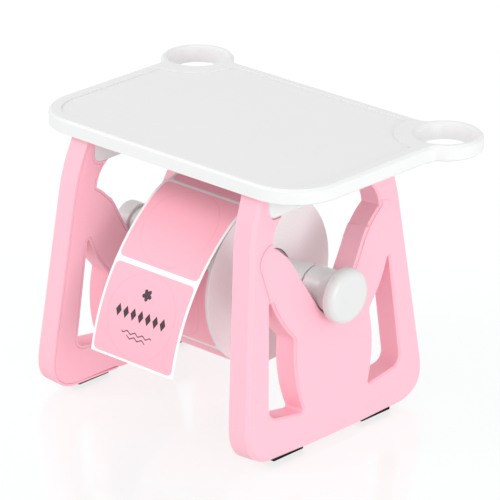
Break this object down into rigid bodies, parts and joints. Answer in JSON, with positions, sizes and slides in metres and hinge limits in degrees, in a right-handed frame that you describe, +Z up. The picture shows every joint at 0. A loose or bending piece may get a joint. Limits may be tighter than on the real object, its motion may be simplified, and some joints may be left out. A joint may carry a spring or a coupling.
{
  "type": "label roll holder",
  "caption": "Desktop label roll holder: a tray with corner rings on leaning rabbit-shaped side frames, which carry a removable spindle with a roll of labels.",
  "frame": {"origin": "middle of the footprint, on the surface that the rubber pads stand on", "axes": "+Z up, +X to the right along the spindle, -Y to the front, where the label strip hangs"},
  "size_m": [0.1942, 0.1445, 0.1364],
  "materials": {
    "pink_plastic": "satin",
    "white_plastic": "satin",
    "knob_plastic": "satin",
    "pad_rubber": "matte",
    "rod_steel": "brushed",
    "screw_steel": "zinc plated",
    "core_cardboard": "matte",
    "wound_paper": "matte, turns showing at the sides",
    "liner_paper": "smooth release paper",
    "label_paper": "coated, satin"
  },
  "bodies": {
    "stand": {"tray_deck": "white_plastic", "side_frame_left": "pink_plastic", "side_frame_right": "pink_plastic", "frame_cover_left": "pink_plastic", "frame_cover_right": "pink_plastic", "cover_screws_left": "screw_steel", "cover_screws_right": "screw_steel", "foot_pad_front_left": "pad_rubber", "foot_pad_front_right": "pad_rubber", "foot_pad_rear_left": "pad_rubber", "foot_pad_rear_right": "pad_rubber", "label_strip": "liner_paper", "strip_labels": "label_paper"},
    "spindle": {"axle_rod": "rod_steel", "grip_ring": "pad_rubber", "hub_left": "knob_plastic", "plug_left": "knob_plastic"},
    "loading_knob": {"knob_right": "knob_plastic", "plug_right": "knob_plastic"},
    "roll": {"roll_core": "core_cardboard", "label_roll": "wound_paper", "roll_labels": "label_paper"}
  },
  "joints": [
    {"name": "spindle_spin", "type": "hinge", "parent": "stand", "child": "spindle", "pos_m": [0, -0.0075, 0.0722], "axis": [1, 0, 0], "continuous": true},
    {"name": "roll_spin", "type": "hinge", "parent": "stand", "child": "roll", "pos_m": [-0.0007, -0.0075, 0.06709], "axis": [1, 0, 0], "continuous": true},
    {"name": "knob_pull", "type": "slide", "parent": "spindle", "child": "loading_knob", "axis": [1, 0, 0], "range_m": [0, 0.02]}
  ]
}
